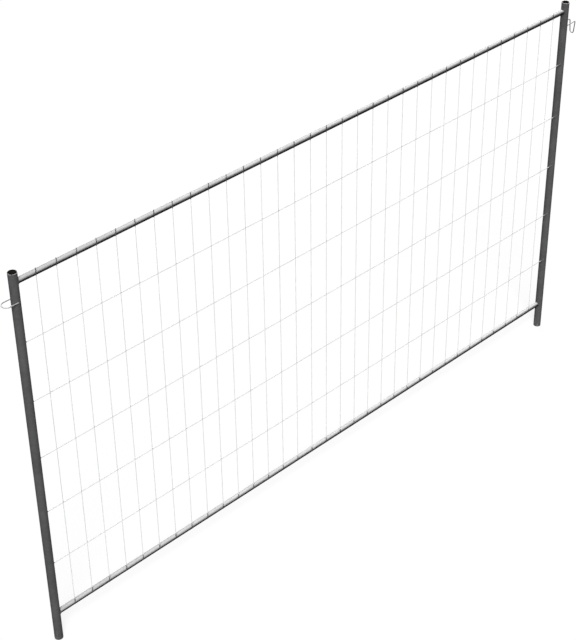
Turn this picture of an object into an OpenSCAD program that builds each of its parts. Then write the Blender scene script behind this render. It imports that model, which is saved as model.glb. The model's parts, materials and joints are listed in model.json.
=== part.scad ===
// Welded temporary fence panel. Two tube posts and two tube rails make the frame, a wire mesh is
// welded to its front, and a rod eye on the left post and a rod hook on the right post couple
// panels in a row. The posts' bare lower ends drop into foot blocks.
// The origin is on the ground midway between the posts: X along the panel, front towards -Y, Z up.

/* [Frame] */
// Distance between the axes of the two posts
post_spacing = 3408; // [1200:1:4000]
// Outside diameter of a post tube
post_d = 40; // [36:0.1:60]
// Wall thickness of a post tube
post_wall = 1.5; // [1:0.1:4]
// Length of a post, from its foot to its open top
post_len = 1995; // [900:1:2600]
// Outside diameter of a rail tube
rail_d = 25.4; // [20:0.1:30]
// Wall thickness of a rail tube
rail_wall = 1.5; // [1:0.1:3]
// Height of the bottom rail's axis above the foot of the posts
bottom_rail_rise = 151.5; // [60:0.5:300]
// Depth of the top rail's axis below the top of the posts
top_rail_drop = 48.5; // [30:0.5:100]
// Diameter of the vent hole in a post's wall inside each rail end
vent_d = 8; // [4:0.5:12]

/* [Mesh] */
// Diameter of a vertical wire
vertical_wire_d = 3; // [2:0.1:5]
// Diameter of a horizontal wire
horizontal_wire_d = 3.5; // [2:0.1:5]
// Distance between neighbouring vertical wires
vertical_wire_pitch = 100; // [80:1:300]
// Distance between neighbouring horizontal wires
horizontal_wire_pitch = 300; // [100:1:600]
// Height of the lowest horizontal wire above the bottom rail's axis
first_wire_rise = 311; // [60:1:400]
// Distance of the vertical wires' middle from the panel's middle, towards the left post
mesh_shift = 6; // [0:0.5:30]
// Length of a vertical wire above the top rail's axis
wire_top_length = 30; // [5:0.5:40]
// Length of a vertical wire below the bottom rail's axis
wire_bottom_length = 3; // [3:0.5:40]

/* [Eye and hook] */
// Diameter of the rod that the eye and the hook are bent from
rod_d = 5; // [4:0.5:10]
// Depth of the eye's axis below the top of the posts
eye_drop = 132.5; // [90:0.5:300]
// Distance from the left post's axis to the outside of the eye's bend
eye_reach = 67; // [60:0.5:120]
// Height of the hook's axis above the eye's axis
hook_rise = 10; // [8:0.5:40]
// Distance from the right post's axis to the outside of the hook's drop
hook_reach = 75.5; // [60:0.5:120]
// Depth of the hook's lowest point below its legs, both on the rod's axis
hook_drop = 69.5; // [50:0.5:140]
// Radius of the rod's axis where the hook's legs turn down
hook_bend_r = 8; // [6:0.5:15]
// Radius of the rod's axis round the hook's tip
hook_tip_r = 11; // [6:0.5:14]
// Clearance between the widest place of the hook's drop and each leg of a neighbour's eye
hook_clearance = 0.6; // [0.5:0.05:4]
// Length of an eye or hook leg past the axis of its post
leg_past = 2; // [0:0.5:6]
// Depth that the legs bed into the post that carries them
rod_bed = 0.4; // [0.2:0.05:0.8]

/* [Welds] */
// Leg of the fillet weld round each rail end
rail_weld_leg = 3; // [1:0.1:5]
// Leg of the fillet welds that hold the eye and the hook
rod_weld_leg = 2.5; // [1:0.1:4]
// Length of an eye or hook weld outwards from the axis of its post
rod_weld_length = 7.5; // [3:0.5:12]
// Width of the tack weld round the end of a horizontal wire
end_weld_flash = 1.4; // [0.5:0.1:2]
// Length of that tack weld along the wire
end_weld_length = 6; // [2:0.5:12]

/* [Hidden] */
$fn = 48;

// Overrun of every cut past the face that it leaves by
overrun = 1;

dark_steel = [0.29, 0.29, 0.30];
rail_steel = [0.48, 0.48, 0.49];
bright_wire = [0.80, 0.80, 0.81];
bright_rod = [0.66, 0.66, 0.67];
weld_metal = [0.40, 0.39, 0.38];

half_spacing = post_spacing / 2;
post_r = post_d / 2;
rail_r = rail_d / 2;
bottom_rail_z = bottom_rail_rise;
top_rail_z = post_len - top_rail_drop;
rail_spacing = top_rail_z - bottom_rail_z;

vertical_wire_r = vertical_wire_d / 2;
horizontal_wire_r = horizontal_wire_d / 2;
vertical_wire_count = floor(post_spacing / vertical_wire_pitch) - 1;
horizontal_wire_count = floor((rail_spacing - first_wire_rise - rail_d) / horizontal_wire_pitch) + 1;
vertical_wire_y = -rail_r - vertical_wire_r;
horizontal_wire_y = vertical_wire_y - vertical_wire_r - horizontal_wire_r;
vertical_wire_foot = bottom_rail_z - wire_bottom_length;
vertical_wire_length = rail_spacing + wire_top_length + wire_bottom_length;
// A horizontal wire ends where its axis meets the post's face, or at the post's axis if it passes in front
horizontal_wire_end = half_spacing - sqrt(max(0, post_r * post_r - horizontal_wire_y * horizontal_wire_y));
end_weld_r = horizontal_wire_r + end_weld_flash;

rod_r = rod_d / 2;
leg_y = post_r + rod_r - rod_bed;
eye_z = post_len - eye_drop;
eye_straight = eye_reach - rod_r - leg_y;
hook_z = eye_z + hook_rise;
hook_out = hook_reach - rod_r;
// The hook's legs converge from the post's flanks to a drop that fits between the legs of an eye
hook_half_width = leg_y - rod_d - hook_clearance;
hook_leg = norm([hook_out, leg_y - hook_half_width]);
hook_converge = atan2(leg_y - hook_half_width, hook_out);
// The drop's two strands lean in from there and run tangent into the tip
hook_fall = hook_drop - hook_tip_r;
hook_slant = norm([hook_half_width, hook_fall]);
hook_strand = sqrt(hook_slant * hook_slant - hook_tip_r * hook_tip_r) - hook_bend_r;
hook_taper = atan2(hook_half_width, hook_fall) - asin(hook_tip_r / hook_slant);
hook_lean = asin(sin(hook_taper) / cos(hook_converge));
// Turn about a strand that squares the tip with the panel
tip_turn = atan2(tan(hook_converge), cos(hook_lean));
// Angle that each half of the tip runs on past the middle before it is cut there
tip_overlap = 10;

left = -1;
right = 1;
front = -1;
back = 1;

function vertical_wire_x(i) = (i - (vertical_wire_count + 1) / 2) * vertical_wire_pitch - mesh_shift;
function horizontal_wire_z(j) = bottom_rail_z + first_wire_rise + (j - 1) * horizontal_wire_pitch;
function two_digits(n) = n < 10 ? str("0", n) : str(n);
function vertical_wire_name(i) = str("vertical_wire_", two_digits(i));
function horizontal_wire_name(j) = str("horizontal_wire_", j);

// A round bar along X between two places
module bar_x(r, x_from, x_to) {
    translate([x_from, 0, 0]) rotate([0, 90, 0]) cylinder(r = r, h = x_to - x_from);
}

// The whole space inside a post's outer face, to cut what butts against it
module post_space(side) {
    translate([side * half_spacing, 0, -overrun]) cylinder(r = post_r, h = post_len + 2 * overrun);
}

// The whole space inside a rail's outer face
module rail_space(z) {
    translate([0, 0, z]) bar_x(rail_r, -half_spacing, half_spacing);
}

// A short length of a post's outside, grown by a weld's leg, at one height
module post_weld_space(side, z, half_height, leg) {
    translate([side * half_spacing, 0, z - half_height]) cylinder(r = post_r + leg, h = 2 * half_height);
}

module horizontal_wire_space(j) {
    translate([0, horizontal_wire_y, horizontal_wire_z(j)])
        bar_x(horizontal_wire_r, -horizontal_wire_end, horizontal_wire_end);
}

// Open tube with a vent hole behind each rail end
module post(side) {
    turn = side == left ? 180 : 0;
    color(dark_steel) translate([side * half_spacing, 0, 0]) rotate([0, 0, turn]) difference() {
        cylinder(r = post_r, h = post_len);
        translate([0, 0, -overrun]) cylinder(r = post_r - post_wall, h = post_len + 2 * overrun);
        for (z = [bottom_rail_z, top_rail_z])
            translate([0, 0, z]) rotate([0, -90, 0]) cylinder(d = vent_d, h = post_d);
    }
}

// Tube between the posts, with both ends coped to the posts' round faces
module rail(z) {
    color(rail_steel) difference() {
        rail_space(z);
        translate([0, 0, z])
            bar_x(rail_r - rail_wall, -half_spacing - overrun, half_spacing + overrun);
        post_space(left);
        post_space(right);
    }
}

// Fillet weld all round a rail end
module rail_weld(side, z) {
    reach = post_r + rail_weld_leg + overrun;
    color(weld_metal) difference() {
        intersection() {
            post_weld_space(side, z, rail_r + rail_weld_leg + overrun, rail_weld_leg);
            translate([side * half_spacing, 0, z]) rotate([0, -side * 90, 0])
                cylinder(r = rail_r + rail_weld_leg, h = reach);
        }
        post_space(side);
        rail_space(z);
    }
}

// Straight wire that lies on the front of both rails
module vertical_wire(i) {
    color(bright_wire) translate([vertical_wire_x(i), vertical_wire_y, vertical_wire_foot])
        cylinder(r = vertical_wire_r, h = vertical_wire_length);
}

// Straight wire that lies on the front of the vertical wires, with both ends coped to the posts
module horizontal_wire(j) {
    color(bright_wire) difference() {
        horizontal_wire_space(j);
        post_space(left);
        post_space(right);
    }
}

// Tack weld round each horizontal wire's end on a post
module post_wire_welds(side) {
    color(weld_metal) for (j = [1 : horizontal_wire_count]) difference() {
        intersection() {
            post_weld_space(side, horizontal_wire_z(j), end_weld_r + overrun, end_weld_flash);
            translate([side * horizontal_wire_end, horizontal_wire_y, horizontal_wire_z(j)])
                rotate([0, -side * 90, 0]) translate([0, 0, -end_weld_flash])
                    cylinder(r = end_weld_r, h = end_weld_flash + end_weld_length);
        }
        horizontal_wire_space(j);
        post_space(side);
    }
}

// Level loop of rod whose two legs straddle the left post
module coupling_eye() {
    color(bright_rod) difference() {
        translate([-half_spacing, 0, eye_z]) {
            for (face = [front, back])
                translate([0, face * leg_y, 0]) bar_x(rod_r, -eye_straight, leg_past);
            translate([-eye_straight, 0, 0]) rotate([0, 0, 90])
                rotate_extrude(angle = 180) translate([leg_y, 0]) circle(r = rod_r);
        }
        post_space(left);
    }
}

// Rear half of the hook: a level leg that runs in, its bend, a strand that leans in and half of the tip
module hook_half() {
    difference() {
        translate([0, leg_y, hook_z]) rotate([-hook_lean, 0, -hook_converge]) {
            bar_x(rod_r, -leg_past, hook_leg - hook_bend_r);
            translate([hook_leg - hook_bend_r, 0, -hook_bend_r]) rotate([90, 0, 0])
                rotate_extrude(angle = 90) translate([hook_bend_r, 0]) circle(r = rod_r);
            translate([hook_leg, 0, -hook_bend_r]) {
                mirror([0, 0, 1]) cylinder(r = rod_r, h = hook_strand);
                translate([0, 0, -hook_strand]) rotate([0, 0, tip_turn])
                    translate([0, -hook_tip_r, 0]) rotate([-90, 0, 90])
                        rotate_extrude(angle = 90 - hook_taper + tip_overlap)
                            translate([hook_tip_r, 0]) circle(r = rod_r);
            }
        }
        translate([hook_out - rod_d, -hook_tip_r, hook_z - hook_drop - rod_d])
            cube([2 * rod_d, hook_tip_r, hook_tip_r + rod_d]);
    }
}

// Hairpin of rod whose two legs straddle the right post, turned down to drop into a neighbour's eye
module coupling_hook() {
    color(bright_rod) difference() {
        translate([half_spacing, 0, 0]) {
            hook_half();
            mirror([0, 1, 0]) hook_half();
        }
        post_space(right);
    }
}

// A bar along one leg of the eye or the hook, from behind the post's axis outwards
module leg_space(side, face, z, converge, r, back, out) {
    translate([side * half_spacing, face * leg_y, z]) rotate([0, 0, -side * face * converge])
        rotate([0, side * 90, 0]) translate([0, 0, -back]) cylinder(r = r, h = back + out);
}

// Fillet welds above, below and round the end of both legs of the eye or the hook
module rod_welds(side, z, converge) {
    color(weld_metal) for (face = [front, back]) difference() {
        intersection() {
            post_weld_space(side, z, rod_r + rod_weld_leg + overrun, rod_weld_leg);
            leg_space(
                side, face, z, converge,
                rod_r + rod_weld_leg, leg_past + rod_weld_leg, rod_weld_length
            );
        }
        leg_space(side, face, z, converge, rod_r, leg_past, rod_weld_length + overrun);
        post_space(side);
    }
}

post(left);  // left_post
post(right);  // right_post
rail(top_rail_z);  // top_rail
rail(bottom_rail_z);  // bottom_rail
rail_weld(left, top_rail_z);  // top_left_rail_weld
rail_weld(right, top_rail_z);  // top_right_rail_weld
rail_weld(left, bottom_rail_z);  // bottom_left_rail_weld
rail_weld(right, bottom_rail_z);  // bottom_right_rail_weld
for (i = [1 : vertical_wire_count])
    vertical_wire(i);
for (j = [1 : horizontal_wire_count])
    horizontal_wire(j);
post_wire_welds(left);  // left_post_wire_welds
post_wire_welds(right);  // right_post_wire_welds
coupling_eye();
coupling_hook();
rod_welds(left, eye_z, 0);  // eye_welds
rod_welds(right, hook_z, hook_converge);  // hook_welds
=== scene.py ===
import json
import math

import bmesh
import bpy
import numpy as np
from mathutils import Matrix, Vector


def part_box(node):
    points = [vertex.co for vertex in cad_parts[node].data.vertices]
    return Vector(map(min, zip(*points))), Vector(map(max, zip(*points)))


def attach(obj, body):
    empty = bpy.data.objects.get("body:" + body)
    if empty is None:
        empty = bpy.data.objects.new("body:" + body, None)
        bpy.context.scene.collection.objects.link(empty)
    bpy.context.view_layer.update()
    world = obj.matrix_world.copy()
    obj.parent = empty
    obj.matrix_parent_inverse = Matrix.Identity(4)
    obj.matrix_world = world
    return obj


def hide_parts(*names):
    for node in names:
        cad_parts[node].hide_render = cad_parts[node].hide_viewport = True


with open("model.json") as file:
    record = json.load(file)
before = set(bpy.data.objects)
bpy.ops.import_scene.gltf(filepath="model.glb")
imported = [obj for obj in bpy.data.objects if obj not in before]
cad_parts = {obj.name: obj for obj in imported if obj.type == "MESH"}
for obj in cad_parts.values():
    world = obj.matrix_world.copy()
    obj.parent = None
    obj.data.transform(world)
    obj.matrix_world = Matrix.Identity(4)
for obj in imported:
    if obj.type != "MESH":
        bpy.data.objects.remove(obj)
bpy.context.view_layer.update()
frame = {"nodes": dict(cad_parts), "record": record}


# Posts: two round steel tubes, open at both ends, whose bare feet drop into foot blocks. The zinc on
# them has dulled to a dark matte grey. A vent hole behind each rail end drained the zinc bath.
mm = 0.001
mounts = {mount["name"]: mount for mount in frame["record"]["mounts"]}
post_r = mounts["left_foot_spigot"]["dims"]["r_mm"] * mm
post_bore_r = mounts["left_post_bore"]["dims"]["r_mm"] * mm
post_x = mounts["right_post_bore"]["pos_m"][0]
post_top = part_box("right_post")[1].z
post_sides = 96
lip = 0.5 * mm
vent_r = 4 * mm
vent_sides = 28
vent_clear = 3 * vent_r
loop_gap = 0.6 * mm
bore_skin = 0.2 * mm
bore_fade = 0.3 * mm
tube_crease = 38
sides = {"left": -1, "right": 1}
rail_z = {}
for level in ("top", "bottom"):
    low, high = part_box(level + "_rail")
    rail_z[level] = (low.z + high.z) / 2


def loft(rings, joined=False):
    """Skin over closed rings of equal length. The last ring joins the first, or both ends are capped."""
    rings = np.asarray(rings, float)
    count, size = rings.shape[:2]
    faces = []
    for i in range(count if joined else count - 1):
        here = i * size
        there = (i + 1) % count * size
        for j in range(size):
            k = (j + 1) % size
            faces.append((here + j, here + k, there + k, there + j))
    if not joined:
        faces.append(tuple(range(size)))
        faces.append(tuple(range((count - 1) * size, count * size)))
    return rings.reshape(-1, 3), faces


def welded_shape(name, skins, material, crease=tube_crease):
    """One object from closed skins, shaded smooth up to an angle of crease degrees."""
    points = []
    faces = []
    for skin_points, skin_faces in skins:
        start = len(points)
        points.extend(tuple(p) for p in skin_points)
        faces.extend(tuple(start + i for i in face) for face in skin_faces)
    mesh = bpy.data.meshes.new(name)
    mesh.from_pydata(points, [], faces)
    shape = bmesh.new()
    shape.from_mesh(mesh)
    bmesh.ops.recalc_face_normals(shape, faces=shape.faces[:])
    shape.to_mesh(mesh)
    shape.free()
    mesh.shade_smooth()
    mesh.set_sharp_from_angle(angle=math.radians(crease))
    mesh.materials.append(material)
    made = bpy.data.objects.new(name, mesh)
    bpy.context.scene.collection.objects.link(made)
    return made


def drill(piece, skins):
    """Cuts closed skins out of a tube for good."""
    drill_bit = welded_shape(piece.name + "_drill", skins, piece.data.materials[0])
    cut = piece.modifiers.new("drill", "BOOLEAN")
    cut.solver = "EXACT"
    cut.object = drill_bit
    drilled = piece.evaluated_get(bpy.context.evaluated_depsgraph_get())
    piece.data = bpy.data.meshes.new_from_object(drilled)
    piece.modifiers.clear()
    piece.data.shade_smooth()
    piece.data.set_sharp_from_angle(angle=math.radians(tube_crease))
    bpy.data.objects.remove(drill_bit)


def circle(sides_round):
    """Cosines and sines of equal steps round a full turn."""
    turn = np.linspace(0, 2 * np.pi, sides_round, endpoint=False)
    return np.cos(turn), np.sin(turn)


def add(tree, kind, inputs=None, **settings):
    """A shader node: sockets given for its inputs are linked, and plain values are set."""
    made = tree.nodes.new(kind)
    for name, value in settings.items():
        setattr(made, name, value)
    for key, value in (inputs or {}).items():
        if isinstance(value, bpy.types.NodeSocket):
            tree.links.new(value, made.inputs[key])
        else:
            made.inputs[key].default_value = value
    return made


def maths(tree, operation, *values, clamp=False):
    """Result of a Math node on sockets or numbers."""
    node = add(tree, "ShaderNodeMath", dict(enumerate(values)), operation=operation, use_clamp=clamp)
    return node.outputs[0]


def ramp(tree, value, start, end, low=0.0, high=1.0):
    """Smooth step of a value from low at start to high at end."""
    inputs = {"Value": value, "From Min": start, "From Max": end, "To Min": low, "To Max": high}
    return add(tree, "ShaderNodeMapRange", inputs, interpolation_type="SMOOTHSTEP").outputs["Result"]


def mixed(tree, share, first, second):
    """Colour between first at share 0 and second at share 1."""
    # The Mix node keeps its two colours in inputs 6 and 7, and their mix in output 2
    return add(tree, "ShaderNodeMix", {0: share, 6: first, 7: second}, data_type="RGBA").outputs[2]


def effect(name, inputs, outputs):
    """An empty node group with named sockets: its tree, what comes in and what goes out."""
    tree = bpy.data.node_groups.new(name, "ShaderNodeTree")
    for label, value in inputs.items():
        kind = "NodeSocketFloat" if isinstance(value, (int, float)) else "NodeSocketColor"
        tree.interface.new_socket(label, in_out="INPUT", socket_type=kind).default_value = value
    for label, kind in outputs.items():
        tree.interface.new_socket(label, in_out="OUTPUT", socket_type=kind)
    return tree, tree.nodes.new("NodeGroupInput").outputs, tree.nodes.new("NodeGroupOutput").inputs


def new_steel(name, specular):
    """A new material with its node tree and its Principled shader."""
    material = bpy.data.materials.new(name)
    material.use_nodes = True
    tree = material.node_tree
    shader = tree.nodes["Principled BSDF"]
    shader.inputs["Specular IOR Level"].default_value = specular
    return material, tree, shader


def axes_of(tree, kind):
    """X, Y and Z of a shaded point in the panel's frame: of its place, Object, or of its Normal."""
    point = add(tree, "ShaderNodeTexCoord").outputs[kind]
    return add(tree, "ShaderNodeSeparateXYZ", {0: point}).outputs


def placed(tree, group, inputs):
    """An effect's node in a material, with its own values."""
    return add(tree, "ShaderNodeGroup", inputs, node_tree=group)


def relief(tree, shader, height, strength, depth):
    """Gives a finish its fine relief, from a height."""
    bump = add(tree, "ShaderNodeBump", {"Height": height, "Strength": strength, "Distance": depth})
    tree.links.new(bump.outputs[0], shader.inputs["Normal"])


# Dulled zinc: crystals of the coating a few millimetres across, cloudy patches and a fine grain
zinc, given, out = effect(
    "dulled_zinc",
    {
        "Dark": (0.05, 0.05, 0.05, 1),
        "Light": (0.1, 0.1, 0.1, 1),
        "Crystals per metre": 110.0,
        "Roughness": 0.6,
    },
    {"Color": "NodeSocketColor", "Roughness": "NodeSocketFloat", "Height": "NodeSocketFloat"},
)
place = add(zinc, "ShaderNodeTexCoord").outputs["Object"]
crystal = add(zinc, "ShaderNodeTexVoronoi", {"Vector": place, "Scale": given["Crystals per metre"]})
crystal_tone = add(zinc, "ShaderNodeSeparateColor", {0: crystal.outputs["Color"]}).outputs[0]
cloud = add(zinc, "ShaderNodeTexNoise", {"Vector": place, "Scale": 9.0, "Detail": 5.0, "Roughness": 0.6})
grain = add(zinc, "ShaderNodeTexNoise", {"Vector": place, "Scale": 850.0, "Detail": 3.0})
tone = maths(zinc, "MULTIPLY_ADD", crystal_tone, 0.34, maths(zinc, "MULTIPLY", grain.outputs[0], 0.3))
tone = maths(zinc, "ADD", tone, ramp(zinc, cloud.outputs[0], 0.3, 0.7, 0.0, 0.5), clamp=True)
zinc.links.new(mixed(zinc, tone, given["Dark"], given["Light"]), out["Color"])
rough = maths(zinc, "MULTIPLY_ADD", crystal_tone, 0.12, given["Roughness"])
rough = maths(zinc, "MULTIPLY_ADD", grain.outputs[0], 0.1, rough)
zinc.links.new(rough, out["Roughness"])
zinc.links.new(maths(zinc, "MULTIPLY_ADD", crystal_tone, 0.25, grain.outputs[0]), out["Height"])

# Rubbed places: fine streaks along the tube, strongest at one height and fading over a distance
rubbing, given, out = effect(
    "rubbing",
    {"At height": 0.0, "Fades over": 0.15, "Share": 0.5},
    {"Mask": "NodeSocketFloat"},
)
place = add(rubbing, "ShaderNodeTexCoord").outputs["Object"]
stretched = add(rubbing, "ShaderNodeMapping", {"Vector": place, "Scale": (420, 420, 16)}).outputs[0]
streak = add(rubbing, "ShaderNodeTexNoise", {"Vector": stretched, "Scale": 1.0, "Detail": 4.0}).outputs[0]
height = axes_of(rubbing, "Object")["Z"]
away = maths(rubbing, "ABSOLUTE", maths(rubbing, "SUBTRACT", height, given["At height"]))
near = maths(rubbing, "SUBTRACT", 1.0, maths(rubbing, "DIVIDE", away, given["Fades over"]), clamp=True)
edge = maths(rubbing, "SUBTRACT", 0.72, maths(rubbing, "MULTIPLY", near, 0.22))
mask = maths(rubbing, "MULTIPLY", maths(rubbing, "SUBTRACT", streak, edge), 9.0, clamp=True)
mask = maths(rubbing, "MULTIPLY", maths(rubbing, "MULTIPLY", mask, near), given["Share"])
rubbing.links.new(mask, out["Mask"])


def towards_hook(tree):
    """Share of the way along the panel from the eye's post to the hook's post."""
    span = {"Value": axes_of(tree, "Object")["X"], "From Min": -post_x, "From Max": post_x}
    return add(tree, "ShaderNodeMapRange", span).outputs[0]


dark_zinc, tree, shader = new_steel("dark_zinc", specular=0.01)
matte = {
    "Dark": (0.074, 0.074, 0.075, 1),
    "Light": (0.118, 0.118, 0.119, 1),
    "Crystals per metre": 105.0,
    "Roughness": 0.55,
}
coat = placed(tree, zinc, matte)
rub = placed(tree, rubbing, {"At height": 0.0, "Fades over": 0.16, "Share": 0.2})
x, y, z = axes_of(tree, "Object")
off_axis = maths(tree, "SUBTRACT", maths(tree, "ABSOLUTE", x), post_x)
squared = maths(tree, "MULTIPLY_ADD", off_axis, off_axis, maths(tree, "MULTIPLY", y, y))
from_axis = maths(tree, "SQRT", squared)
# Inside the bore the zinc is painted nearly black: painted shade of the hollow tube
inside = post_bore_r + bore_skin
in_bore = ramp(tree, from_axis, inside, inside + bore_fade, 1.0, 0.0)
up_or_down = axes_of(tree, "Normal")["Z"]
# Faces that look up or down, the tubes' cut ends, and rubbed places show bare steel, painted paler towards
# the hook's post: partly the steel's own colour, partly a painted glint.
cut_end = ramp(tree, maths(tree, "ABSOLUTE", up_or_down), 0.25, 0.75)
bared = maths(tree, "MAXIMUM", rub.outputs["Mask"], cut_end)
skin = mixed(tree, in_bore, coat.outputs["Color"], (0.018, 0.017, 0.016, 1))
bright = mixed(tree, towards_hook(tree), (0.55, 0.55, 0.555, 1), (0.95, 0.95, 0.955, 1))
skin = mixed(tree, bared, skin, bright)
tree.links.new(skin, shader.inputs["Base Color"])
tree.links.new(coat.outputs["Roughness"], shader.inputs["Roughness"])
tree.links.new(maths(tree, "MULTIPLY", bared, 0.3), shader.inputs["Metallic"])
relief(tree, shader, coat.outputs["Height"], strength=0.35, depth=0.25 * mm)

quarter = [(math.cos(math.radians(a)), math.sin(math.radians(a))) for a in (0, 30, 60, 90)]
rounded = [(1 - c, 1 - s) for c, s in quarter]
loops = [lip + loop_gap]
for level in ("bottom", "top"):
    loops += [rail_z[level] - vent_clear, rail_z[level] + vent_clear]
loops.append(post_top - lip - loop_gap)
profile = [(post_r - lip * a, lip * b) for a, b in reversed(rounded)]
profile += [(post_r, z) for z in loops]
profile += [(post_r - lip * a, post_top - lip * b) for a, b in rounded]
profile += [(post_bore_r + lip * a, post_top - lip * b) for a, b in reversed(rounded)]
profile += [(post_bore_r, z) for z in reversed(loops)]
profile += [(post_bore_r + lip * a, lip * b) for a, b in rounded]
across, along = circle(post_sides)
vent_y, vent_z = circle(vent_sides)
for side, way in sides.items():
    rings = [[(way * post_x + r * c, r * s, z) for r, z in profile] for c, s in zip(across, along)]
    post = welded_shape("post_tube_" + side, [loft(rings, joined=True)], dark_zinc)
    vents = []
    for z in rail_z.values():
        ends = [way * (post_x - reach) for reach in (post_bore_r / 2, post_r + lip)]
        vents.append(loft([[(x, vent_r * b, z + vent_r * c) for b, c in zip(vent_y, vent_z)] for x in ends]))
    drill(post, vents)
    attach(post, "root")
    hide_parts(side + "_post")


# Rails: two thinner round tubes between the posts, both ends coped to the posts' round faces. Same
# zinc as the posts, painted pale on the upper side as light from above and nearly black below as shade.
low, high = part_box("top_rail")
rail_r = (high.z - low.z) / 2
rail_wall = 1.5 * mm
rail_sides = 72
rail_rings = 9


def cope(y):
    """Distance from the panel's middle to the post's round face, at a distance y from the posts' plane."""
    return post_x - np.sqrt(np.maximum(post_r**2 - np.square(y), 0))


# Painted light: how far a face looks up, leaning back for a painted reflection, with a broken edge
top_lighting, given, out = effect(
    "painted_upward_light",
    {"From": 0.2, "To": 0.5, "Broken": 0.25, "Lean": 0.0},
    {"Mask": "NodeSocketFloat"},
)
facing = axes_of(top_lighting, "Normal")
upward = maths(top_lighting, "MULTIPLY_ADD", facing["Y"], given["Lean"], facing["Z"])
place = add(top_lighting, "ShaderNodeTexCoord").outputs["Object"]
patches = {"Vector": place, "Scale": 38.0, "Detail": 6.0, "Roughness": 0.65}
ragged = add(top_lighting, "ShaderNodeTexNoise", patches).outputs[0]
ragged = maths(top_lighting, "MULTIPLY", maths(top_lighting, "SUBTRACT", ragged, 0.5), given["Broken"])
upward = maths(top_lighting, "ADD", upward, ragged)
top_lighting.links.new(ramp(top_lighting, upward, given["From"], given["To"]), out["Mask"])

zinc_painted_lit_and_shaded, tree, shader = new_steel("zinc_painted_lit_and_shaded", specular=0.0)
# The rails' own zinc is nearly black: painted shade where faces look down or forward
matte = {
    "Dark": (0.012, 0.012, 0.0125, 1),
    "Light": (0.026, 0.026, 0.0265, 1),
    "Crystals per metre": 120.0,
    "Roughness": 0.5,
}
coat = placed(tree, zinc, matte)
to_hook = towards_hook(tree)
# Pale upper side: a painted highlight of light from above, paler towards the hook's post
pale = {
    "Dark": mixed(tree, to_hook, (0.42, 0.42, 0.425, 1), (0.83, 0.83, 0.835, 1)),
    "Light": mixed(tree, to_hook, (0.53, 0.53, 0.535, 1), (0.95, 0.95, 0.955, 1)),
    "Crystals per metre": 120.0,
    "Roughness": 0.6,
}
upper_highlight = placed(tree, zinc, pale)
# Towards the hook's post the lit part leans further round the back: painted light and a painted reflection
# on the upper back edge
upper_side = {
    "From": maths(tree, "MULTIPLY_ADD", to_hook, -0.27, -0.06),
    "To": maths(tree, "MULTIPLY_ADD", to_hook, 0.67, 0.82),
    "Lean": maths(tree, "MULTIPLY_ADD", to_hook, 0.44, 0.03),
    "Broken": 0.12,
}
upper_light = placed(tree, top_lighting, upper_side)
skin = mixed(tree, upper_light.outputs["Mask"], coat.outputs["Color"], upper_highlight.outputs["Color"])
tree.links.new(skin, shader.inputs["Base Color"])
tree.links.new(upper_highlight.outputs["Roughness"], shader.inputs["Roughness"])
relief(tree, shader, coat.outputs["Height"], strength=0.35, depth=0.25 * mm)

across, along = circle(rail_sides)
rail_stations = np.linspace(-1, 1, rail_rings)
for level, z in rail_z.items():
    rings = []
    for c, s in zip(across, along):
        ring = []
        for r, stations in ((rail_r, rail_stations), (rail_r - rail_wall, -rail_stations)):
            ring += [(share * cope(r * c), r * c, z + r * s) for share in stations]
        rings.append(ring)
    rail = welded_shape("rail_tube_" + level, [loft(rings, joined=True)], zinc_painted_lit_and_shaded)
    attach(rail, "root")
    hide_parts(level + "_rail")


# Rail-end welds: one fillet bead of filler metal laid by hand all round each rail end, with the ripples
# of the weld pool. It is rough, darker than the tubes and slightly brown from the heat.
rail_weld_leg = 3 * mm
sunk = 0.12 * mm
rail_weld_steps = 420
rail_weld_ripples = 62
weld_seed = 11
weld_crease = 70
bead_rows = 11
bulge_share = 0.2
swell_share = 0.22
toe_share = 0.06
wander_share = 0.35
ripple_share = 0.035
ripple_lag_share = 0.55
ripple_drift_share = 0.5
thin_end_share = 0.02
blunt_end_power = 14


def bead(toe_a, toe_b, root, ripples, seed, joined=False):
    """Skin of a weld bead between two lines of toes, bulging away from its root, with curved ripples."""
    draw = np.random.default_rng(seed)
    count = len(root)
    run = np.linspace(0, 1, count, endpoint=not joined)
    wander = np.zeros(count)
    for waves in range(2, 9):
        wander += draw.normal(0, wander_share) * np.sin(2 * np.pi * (waves * run + draw.random())) / waves
    if not joined:
        fullness = 1 - np.abs(2 * run - 1) ** blunt_end_power
        rounding = np.sqrt(np.clip(fullness, thin_end_share, 1))[:, None]
        toe_a = root + (toe_a - root) * rounding
        toe_b = root + (toe_b - root) * rounding
    swell = (bulge_share * (1 + swell_share * wander))[:, None]
    toe_a = root + (toe_a - root) * (1 + toe_share * wander)[:, None]
    middle = (toe_a + toe_b) / 2 - root
    outward = middle / np.linalg.norm(middle, axis=1)[:, None]
    width = np.linalg.norm(toe_a - toe_b, axis=1)[:, None]
    rows = []
    for t in np.linspace(0, 1, bead_rows):
        arch = math.sin(math.pi * t)
        lag = ripple_lag_share * (1 - (2 * t - 1) ** 2)
        ripple = np.sin(2 * np.pi * (ripples * run + lag + ripple_drift_share * wander))[:, None]
        rise = arch * (swell + ripple_share * ripple)
        rows.append(toe_a * (1 - t) + toe_b * t + outward * width * rise)
    rows.append(root)
    return loft(np.stack(rows, axis=1), joined)


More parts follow.
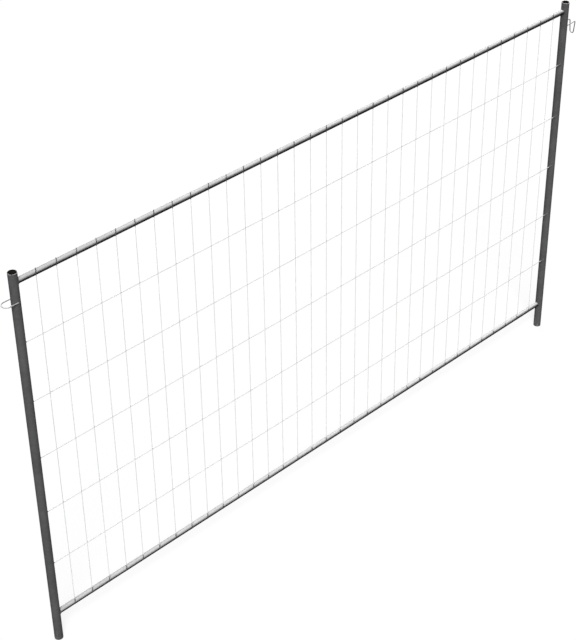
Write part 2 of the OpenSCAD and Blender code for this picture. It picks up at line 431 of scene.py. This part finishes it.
# Weld scale: fine flakes of burnt oxide, with a brown tint in places
weld_scale, given, out = effect(
    "weld_scale",
    {"Dark": (0.06, 0.06, 0.06, 1), "Light": (0.2, 0.2, 0.2, 1), "Heat": (0.12, 0.09, 0.07, 1)},
    {"Color": "NodeSocketColor", "Roughness": "NodeSocketFloat", "Height": "NodeSocketFloat"},
)
place = add(weld_scale, "ShaderNodeTexCoord").outputs["Object"]
flake = add(weld_scale, "ShaderNodeTexNoise", {"Vector": place, "Scale": 700.0, "Detail": 6.0}).outputs[0]
tint = add(weld_scale, "ShaderNodeTexNoise", {"Vector": place, "Scale": 160.0, "Detail": 3.0}).outputs[0]
metal = mixed(weld_scale, ramp(weld_scale, flake, 0.3, 0.7), given["Dark"], given["Light"])
metal = mixed(weld_scale, ramp(weld_scale, tint, 0.45, 0.75, 0.0, 0.7), metal, given["Heat"])
weld_scale.links.new(metal, out["Color"])
weld_scale.links.new(ramp(weld_scale, flake, 0.25, 0.75, 0.38, 0.72), out["Roughness"])
weld_scale.links.new(flake, out["Height"])

raw_weld, tree, shader = new_steel("raw_weld", specular=0.4)
scorched = {
    "Dark": (0.03, 0.03, 0.029, 1),
    "Light": (0.09, 0.088, 0.086, 1),
    "Heat": (0.06, 0.055, 0.05, 1),
}
scale = placed(tree, weld_scale, scorched)
tree.links.new(scale.outputs["Color"], shader.inputs["Base Color"])
tree.links.new(scale.outputs["Roughness"], shader.inputs["Roughness"])
shader.inputs["Metallic"].default_value = 0.35
relief(tree, shader, scale.outputs["Height"], strength=0.5, depth=0.2 * mm)

around_y, around_z = circle(rail_weld_steps)
rail_toe = (rail_r - sunk, rail_weld_leg)
post_toe = (rail_r + rail_weld_leg, -sunk)
weld_root = (rail_r - lip, -lip)
for level, z in rail_z.items():
    for side, way in sides.items():
        lines = []
        for r, off_post in (rail_toe, post_toe, weld_root):
            x = way * (cope(r * around_y) - off_post)
            lines.append(np.stack([x, r * around_y, z + r * around_z], axis=1))
        skin = bead(*lines, rail_weld_ripples, weld_seed, joined=True)
        weld = welded_shape("rail_bead_" + level + "_" + side, [skin], raw_weld, crease=weld_crease)
        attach(weld, "root")
        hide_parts(level + "_" + side + "_rail_weld")
        weld_seed += 1


# Upright mesh wires: drawn, bright zinc coated wire, cut to length by a shear and resistance welded to
# the front of both rails, with their tops standing proud. At the rails, heat tint and painted shade darken
# them.
upright_sides = 16
cut_chamfer = 0.3 * mm
ring_gap = 40 * mm
rail_mark_half = 21.5 * mm
rail_mark_rise = 12 * mm
rail_mark_drawn_in = 6 * mm
upright_names = sorted(name for name in frame["nodes"] if name.startswith("vertical_wire_"))
low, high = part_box(upright_names[0])
upright_r = (high.x - low.x) / 2
upright_y = -rail_r - upright_r


def round_bar(path, r, bar_sides, chamfer):
    """Skin of a round bar along a path of points, with a small chamfer at both cut ends."""
    path = np.asarray(path, float)
    tangents = np.gradient(path, axis=0)
    tangents /= np.linalg.norm(tangents, axis=1)[:, None]
    starts_level = abs(tangents[0][2]) < 0.7
    spoke = np.array((0, 0, 1.0)) if starts_level else np.array((0, 1.0, 0))
    c, s = circle(bar_sides)
    rings = []
    for point, tangent in zip(path, tangents):
        spoke = spoke - tangent * spoke.dot(tangent)
        spoke /= np.linalg.norm(spoke)
        crosswise = np.cross(tangent, spoke)
        rings.append(point + r * (c[:, None] * spoke + s[:, None] * crosswise))
    first = path[0] + (rings[0] - path[0]) * (1 - chamfer / r)
    last = path[-1] + (rings[-1] - path[-1]) * (1 - chamfer / r)
    rings[0] = rings[0] + tangents[0] * chamfer
    rings[-1] = rings[-1] - tangents[-1] * chamfer
    return loft([first] + rings + [last])


# Ragged bands: a band about one place along the bar, with a ragged edge. They mark weld heat tint on the
# rods, darker stretches of the cross wires at the posts, and on the uprights heat tint together with painted
# shade.
banding, given, out = effect(
    "ragged_band",
    {"Along": 0.0, "Middle": 1.0, "Half width": 0.02},
    {"Mask": "NodeSocketFloat"},
)
place = add(banding, "ShaderNodeTexCoord").outputs["Object"]
away = maths(banding, "ABSOLUTE", maths(banding, "SUBTRACT", given["Along"], given["Middle"]))
ragged = add(banding, "ShaderNodeTexNoise", {"Vector": place, "Scale": 260.0, "Detail": 3.0}).outputs[0]
reach = maths(banding, "MULTIPLY", given["Half width"], maths(banding, "MULTIPLY_ADD", ragged, 0.4, 0.8))
share = maths(banding, "DIVIDE", away, reach)
banding.links.new(ramp(banding, share, 0.82, 1.08, 1.0, 0.0), out["Mask"])


def wire_finish(name, light, darkened, marks):
    """Bright zinc wire, darkened to a second colour where the function marks puts a mask."""
    material, tree, shader = new_steel(name, specular=0.5)
    drawn = {
        "Dark": tuple(0.82 * v for v in light) + (1,),
        "Light": light + (1,),
        "Crystals per metre": 260.0,
        "Roughness": 0.34,
    }
    coat = placed(tree, zinc, drawn)
    tree.links.new(mixed(tree, marks(tree), coat.outputs["Color"], darkened), shader.inputs["Base Color"])
    tree.links.new(coat.outputs["Roughness"], shader.inputs["Roughness"])
    shader.inputs["Metallic"].default_value = 0.6
    relief(tree, shader, coat.outputs["Height"], strength=0.25, depth=0.1 * mm)
    return material


def rail_marks(tree):
    """Dark bands at both rails, which reach less far up towards the hook: heat tint and painted shade."""
    height = axes_of(tree, "Object")["Z"]
    drawn_in = maths(tree, "MULTIPLY", towards_hook(tree), rail_mark_drawn_in)
    half_width = maths(tree, "SUBTRACT", rail_mark_half, drawn_in)
    masks = []
    for z in rail_z.values():
        middle = maths(tree, "SUBTRACT", z + rail_mark_rise, drawn_in)
        band = {"Along": height, "Middle": middle, "Half width": half_width}
        masks.append(placed(tree, banding, band).outputs["Mask"])
    return maths(tree, "MAXIMUM", *masks)


# The uprights' nearly black second colour is partly weld heat tint, partly painted shade for the wire's
# shadow and reflection on the rail.
upright_zinc = wire_finish(
    "upright_zinc",
    light=(0.82, 0.82, 0.825),
    darkened=(0.048, 0.047, 0.046, 1),
    marks=rail_marks,
)
upright_x = []
for name in upright_names:
    low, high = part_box(name)
    x = (low.x + high.x) / 2
    stations = [low.z, rail_z["bottom"] + ring_gap, rail_z["top"] - ring_gap, high.z]
    path = [(x, upright_y, z) for z in stations]
    skin = round_bar(path, upright_r, upright_sides, cut_chamfer)
    wire = welded_shape(name.replace("vertical_wire", "upright"), [skin], upright_zinc)
    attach(wire, "root")
    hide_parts(name)
    upright_x.append(x)


# Cross wires: the same bright wire, a little thicker, laid level on the front of the uprights from post
# to post. Both ends are cut to the posts' round faces, and they are darker near the posts, most at the
# hook's.
cross_sides = 18
cross_rings = 9
eye_post_mark = 14 * mm
hook_post_mark = 48 * mm
cross_names = sorted(name for name in frame["nodes"] if name.startswith("horizontal_wire_"))
low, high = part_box(cross_names[0])
cross_r = (high.z - low.z) / 2
cross_y = upright_y - upright_r - cross_r


def post_marks(tree):
    """Darker bands at both posts, longest at the hook's."""
    from_middle = maths(tree, "ABSOLUTE", axes_of(tree, "Object")["X"])
    longer = hook_post_mark - eye_post_mark
    half_width = maths(tree, "MULTIPLY_ADD", towards_hook(tree), longer, eye_post_mark)
    band = {"Along": from_middle, "Middle": post_x, "Half width": half_width}
    return placed(tree, banding, band).outputs["Mask"]


cross_zinc = wire_finish(
    "cross_zinc",
    light=(0.68, 0.68, 0.685),
    darkened=(0.19, 0.188, 0.185, 1),
    marks=post_marks,
)
round_y, round_z = circle(cross_sides)
ring_y = cross_y + cross_r * round_y
ends = np.minimum(cope(ring_y), high.x)
cross_z = []
for name in cross_names:
    low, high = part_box(name)
    z = (low.z + high.z) / 2
    rings = []
    for share in np.linspace(-1, 1, cross_rings):
        rings.append(np.stack([share * ends, ring_y, z + cross_r * round_z], axis=1))
    wire = welded_shape(name.replace("horizontal_wire", "cross_wire"), [loft(rings)], cross_zinc)
    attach(wire, "root")
    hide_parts(name)
    cross_z.append(z)


# Weld spots of the mesh: resistance welding melts the wires together where they touch, and squeezes a
# rim of metal out all round. One spot at each crossing, paler towards the hook, and one as dark as the
# filler metal where each upright lies on a rail.
spot_sides = 18
spot_layers = 9
spot_flat_tilt = 0.22
spot_unevenness = 0.09
crossing_half = (2.7 * mm, 1.1 * mm, 2.5 * mm)
rail_spot_half = (2.8 * mm, 0.9 * mm, 4.6 * mm)
spot_seed = 5
draw = np.random.default_rng(spot_seed)
spot_c, spot_s = circle(spot_sides)


def squeezed(centre, half):
    """Skin of a small uneven cushion of weld metal, flattest along Y."""
    lobes = np.zeros(spot_sides)
    turn = np.linspace(0, 2 * np.pi, spot_sides, endpoint=False)
    for waves in (2, 3, 5):
        lobes += draw.normal(0, spot_unevenness) * np.cos(waves * turn + draw.random() * 2 * np.pi)
    rings = []
    for tilt in np.linspace(spot_flat_tilt, np.pi - spot_flat_tilt, spot_layers):
        spread = math.sin(tilt) * (1 + lobes)
        x = centre[0] + half[0] * spread * spot_c
        y = np.full(spot_sides, centre[1] - half[1] * math.cos(tilt))
        z = centre[2] + half[2] * spread * spot_s
        rings.append(np.stack([x, y, z], axis=1))
    return loft(rings)


spot_metal, tree, shader = new_steel("spot_metal", specular=0.4)
to_hook = towards_hook(tree)
tempered = {
    "Dark": mixed(tree, to_hook, (0.026, 0.0256, 0.025, 1), (0.25, 0.246, 0.24, 1)),
    "Light": mixed(tree, to_hook, (0.072, 0.071, 0.07, 1), (0.62, 0.612, 0.604, 1)),
    "Heat": mixed(tree, to_hook, (0.04, 0.034, 0.029, 1), (0.36, 0.306, 0.261, 1)),
}
scale = placed(tree, weld_scale, tempered)
tree.links.new(scale.outputs["Color"], shader.inputs["Base Color"])
tree.links.new(scale.outputs["Roughness"], shader.inputs["Roughness"])
shader.inputs["Metallic"].default_value = 0.5
relief(tree, shader, scale.outputs["Height"], strength=0.4, depth=0.15 * mm)

for number, z in enumerate(cross_z, 1):
    skins = [squeezed((x, upright_y - upright_r, z), crossing_half) for x in upright_x]
    spots = welded_shape("crossing_spots_" + str(number), skins, spot_metal, crease=weld_crease)
    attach(spots, "root")
for level, z in rail_z.items():
    skins = [squeezed((x, -rail_r, z), rail_spot_half) for x in upright_x]
    spots = welded_shape("rail_spots_" + level, skins, raw_weld, crease=weld_crease)
    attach(spots, "root")


# Tack welds: a short blob of filler metal that fixes each end of a cross wire to the post. They were laid
# by hand from the front and are as dark and scaly as the rail-end welds.
tack_half = (4.4 * mm, 2.4 * mm, 3 * mm)
tack_sink = 0.5 * mm
for side in sides:
    low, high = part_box(side + "_post_wire_welds")
    tack_x = (low.x + high.x) / 2
    skins = [squeezed((tack_x, cross_y + tack_sink, z), tack_half) for z in cross_z]
    tacks = welded_shape("wire_tacks_" + side, skins, raw_weld, crease=weld_crease)
    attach(tacks, "root")
    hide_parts(side + "_post_wire_welds")


# Coupling eye: a level loop of round bar, bent cold, whose two legs straddle the left post. Zinc like
# the rails', with painted light from above on its upper side. A neighbour's hook drops through it.
rod_r = 2.5 * mm
rod_sides = 28
rod_bed = 0.4 * mm
leg_past = 2 * mm
leg_mark_half = 5 * mm
eye_bend_share = 0.9999
low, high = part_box("coupling_eye")
eye_z = (low.z + high.z) / 2
eye_out = -low.x - rod_r
leg_y = post_r + rod_r - rod_bed
eye_bend_r = eye_bend_share * leg_y


def filleted(corners, radii, steps=14):
    """Path through corner points, with an arc of the given radius at each inner corner."""
    corners = [Vector(c) for c in corners]
    path = [corners[0]]
    for before, here, after, r in zip(corners, corners[1:], corners[2:], radii):
        back = (before - here).normalized()
        ahead = (after - here).normalized()
        half = back.angle(ahead) / 2
        centre = here + (back + ahead).normalized() * (r / math.sin(half))
        start = here + back * (r / math.tan(half)) - centre
        end = here + ahead * (r / math.tan(half)) - centre
        for i in range(steps + 1):
            path.append(centre + start.slerp(end, i / steps) * r)
    path.append(corners[-1])
    return path


plated_rod, tree, shader = new_steel("plated_rod", specular=0.5)
satin = {
    "Dark": (0.07, 0.07, 0.071, 1),
    "Light": (0.13, 0.13, 0.132, 1),
    "Crystals per metre": 210.0,
    "Roughness": 0.36,
}
coat = placed(tree, zinc, satin)
from_middle = maths(tree, "ABSOLUTE", axes_of(tree, "Object")["X"])
band = {"Along": from_middle, "Middle": post_x - leg_past, "Half width": leg_mark_half}
heated = placed(tree, banding, band).outputs["Mask"]
# Eye and hook are painted pale on their upper side: painted light from above, as on the rails
rod_upper_light = placed(tree, top_lighting, {"From": 0.1, "To": 0.9, "Broken": 0.12}).outputs["Mask"]
skin = mixed(tree, rod_upper_light, coat.outputs["Color"], (0.56, 0.56, 0.565, 1))
skin = mixed(tree, heated, skin, (0.11, 0.108, 0.105, 1))
tree.links.new(skin, shader.inputs["Base Color"])
tree.links.new(coat.outputs["Roughness"], shader.inputs["Roughness"])
shader.inputs["Metallic"].default_value = 0.6
relief(tree, shader, coat.outputs["Height"], strength=0.3, depth=0.12 * mm)

corners = [
    (leg_past - post_x, -leg_y, eye_z),
    (-eye_out, -leg_y, eye_z),
    (-eye_out, leg_y, eye_z),
    (leg_past - post_x, leg_y, eye_z),
]
path = filleted(corners, (eye_bend_r, eye_bend_r))
eye = welded_shape("eye_rod", [round_bar(path, rod_r, rod_sides, cut_chamfer)], plated_rod)
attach(eye, "root")
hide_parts("coupling_eye")


# Coupling hook: a hairpin of the same round bar. Its legs straddle the right post and run in towards
# each other, then both strands turn down and meet in a round tip that hangs in a neighbour's eye.
low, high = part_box("coupling_hook")
hook_z = high.z - rod_r
hook_reach = 75.5 * mm
hook_out = post_x + hook_reach - rod_r
hook_half_width = 16.5 * mm
hook_bend_r = 8 * mm
hook_tip_r = 11 * mm
hook_fall = hook_z - low.z - rod_r - hook_tip_r
converge = math.atan2(leg_y - hook_half_width, hook_out - post_x)
strand = math.hypot(hook_half_width, hook_fall)
taper = math.atan2(hook_half_width, hook_fall) - math.asin(hook_tip_r / strand)
apex = (hook_out, 0, hook_z - hook_half_width / math.tan(taper))
start_x = post_x - leg_past * math.cos(converge)
start_y = leg_y + leg_past * math.sin(converge)
corners = [
    (start_x, -start_y, hook_z),
    (hook_out, -hook_half_width, hook_z),
    apex,
    (hook_out, hook_half_width, hook_z),
    (start_x, start_y, hook_z),
]
path = filleted(corners, (hook_bend_r, hook_tip_r, hook_bend_r))
hook = welded_shape("hook_rod", [round_bar(path, rod_r, rod_sides, cut_chamfer)], plated_rod)
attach(hook, "root")
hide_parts("coupling_hook")


# Eye and hook welds: a fillet bead of the same filler as at the rail ends, on each leg. It was laid above
# the leg, round its cut end and back below it, and joins the bar to the post's flank.
rod_weld_length = 7.5 * mm
rod_weld_leg = 1.9 * mm
rod_weld_turn_r = 1.2 * mm
rod_weld_overlap = 0.15 * mm
rod_weld_root = 1.4 * mm
rod_weld_bed = 0.3 * mm
rod_weld_ripples = 20
rod_weld_steps = 160


def leg_beads(way, z, lean, seed):
    """Skins of the beads on a leg pair whose legs run in towards each other by the angle lean."""
    corners = [
        (rod_weld_length, 0, rod_r),
        (-leg_past, 0, rod_r),
        (-leg_past, 0, -rod_r),
        (rod_weld_length, 0, -rod_r),
    ]
    line = np.array(filleted(corners, (rod_weld_turn_r, rod_weld_turn_r)))
    travel = np.concatenate([[0], np.cumsum(np.linalg.norm(np.diff(line, axis=0), axis=1))])
    even = np.linspace(0, travel[-1], rod_weld_steps)
    line = np.stack([np.interp(even, travel, line[:, i]) for i in range(3)], axis=1)
    heading = np.gradient(line, axis=0)
    away = np.stack([heading[:, 2], np.zeros(rod_weld_steps), -heading[:, 0]], axis=1)
    away /= np.linalg.norm(away, axis=1)[:, None]
    skins = []
    for number, face in enumerate((-1, 1)):
        toes = []
        for offset, on_post in ((-rod_weld_overlap, False), (rod_weld_leg, True), (-rod_weld_root, True)):
            dx, _, dz = (line - away * offset).T
            flank = np.sqrt(post_r**2 - dx**2) - sunk
            y = flank if on_post else leg_y - dx * math.tan(lean) - rod_weld_bed
            toes.append(np.stack([way * (post_x + dx), face * y, z + dz], axis=1))
        skins.append(bead(*toes, rod_weld_ripples, seed + number))
    return skins


skins = leg_beads(-1, eye_z, 0.0, weld_seed)
beads = welded_shape("eye_beads", skins, raw_weld, crease=weld_crease)
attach(beads, "root")
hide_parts("eye_welds")
skins = leg_beads(1, hook_z, converge, weld_seed + len(skins))
beads = welded_shape("hook_beads", skins, raw_weld, crease=weld_crease)
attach(beads, "root")
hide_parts("hook_welds")


# Floor and air: a plain white studio floor that keeps the panel's soft shadow, and white all round. Both
# are white where they are seen, also in metal, and light the panel no more than a plain studio does.
scene = bpy.context.scene
scene.view_settings.view_transform = "Standard"
floor_half = 40.0
floor_drop = 0.5 * mm
floor_grey = 0.16
floor_glow = 0.82
air_light = 0.24
floor_mesh = bpy.data.meshes.new("studio_floor")
square = ((-1, -1), (1, -1), (1, 1), (-1, 1))
floor_mesh.from_pydata([(floor_half * a, floor_half * b, 0) for a, b in square], [], [(0, 1, 2, 3)])
floor = bpy.data.objects.new("studio_floor", floor_mesh)
floor.location.z = -floor_drop
scene.collection.objects.link(floor)


def seen_directly(tree):
    """1 for rays that show the surroundings themselves, also in metal, and 0 for rays that light things."""
    path = add(tree, "ShaderNodeLightPath")
    seen = maths(tree, "MAXIMUM", path.outputs["Is Camera Ray"], path.outputs["Is Glossy Ray"])
    return maths(tree, "MAXIMUM", seen, path.outputs["Is Transmission Ray"])


paper = bpy.data.materials.new("white_floor")
paper.use_nodes = True
tree = paper.node_tree
tree.nodes.clear()
lit = add(tree, "ShaderNodeBsdfDiffuse", {"Color": (floor_grey, floor_grey, floor_grey, 1)})
brightness = maths(tree, "MULTIPLY", seen_directly(tree), floor_glow)
glow = add(tree, "ShaderNodeEmission", {"Strength": brightness})
both = add(tree, "ShaderNodeAddShader", {0: lit.outputs[0], 1: glow.outputs[0]})
add(tree, "ShaderNodeOutputMaterial", {"Surface": both.outputs[0]})
floor_mesh.materials.append(paper)

air = bpy.data.worlds.new("white_air")
air.use_nodes = True
scene.world = air
tree = air.node_tree
backdrop = tree.nodes["Background"]
backdrop.inputs["Color"].default_value = (1, 1, 1, 1)
brightness = ramp(tree, seen_directly(tree), 0.0, 1.0, air_light, 1.0)
tree.links.new(brightness, backdrop.inputs["Strength"])


# Lamps: one wide key from above the camera's side, and a weak one from behind the panel. Both are far
# away, so that the panel is lit evenly from end to end.
def far_light(name, direction, wide, strength):
    """A lamp far away, that many degrees wide, whose light travels along a direction."""
    light = bpy.data.lights.new(name, "SUN")
    light.angle = math.radians(wide)
    light.energy = strength
    lamp = bpy.data.objects.new(name, light)
    lamp.rotation_mode = "QUATERNION"
    lamp.rotation_quaternion = Vector(direction).to_track_quat("-Z", "Y")
    scene.collection.objects.link(lamp)


far_light("key_light", direction=(0.93, 1.0, -1.5), wide=24, strength=1.1 * math.pi)
far_light("back_light", direction=(-0.4, -1.0, -0.8), wide=40, strength=0.24 * math.pi)


# Camera: high on the left in front of the panel, on a long lens, looking down along a cube's diagonal.
# The lens is shifted, so that the panel lies in the picture as in the photograph.
view_point = Vector((-4.66724, -4.66822, 5.65722))
view_way = Vector((1, 1, -1))
view_data = bpy.data.cameras.new("view")
view_data.lens = 95.3
view_data.sensor_width = 36
view_data.shift_x = -0.05819
view_data.shift_y = -0.02386
view_data.clip_end = 200
camera = bpy.data.objects.new("view", view_data)
camera.location = view_point
camera.rotation_mode = "QUATERNION"
camera.rotation_quaternion = view_way.to_track_quat("-Z", "Y")
scene.collection.objects.link(camera)
scene.camera = camera
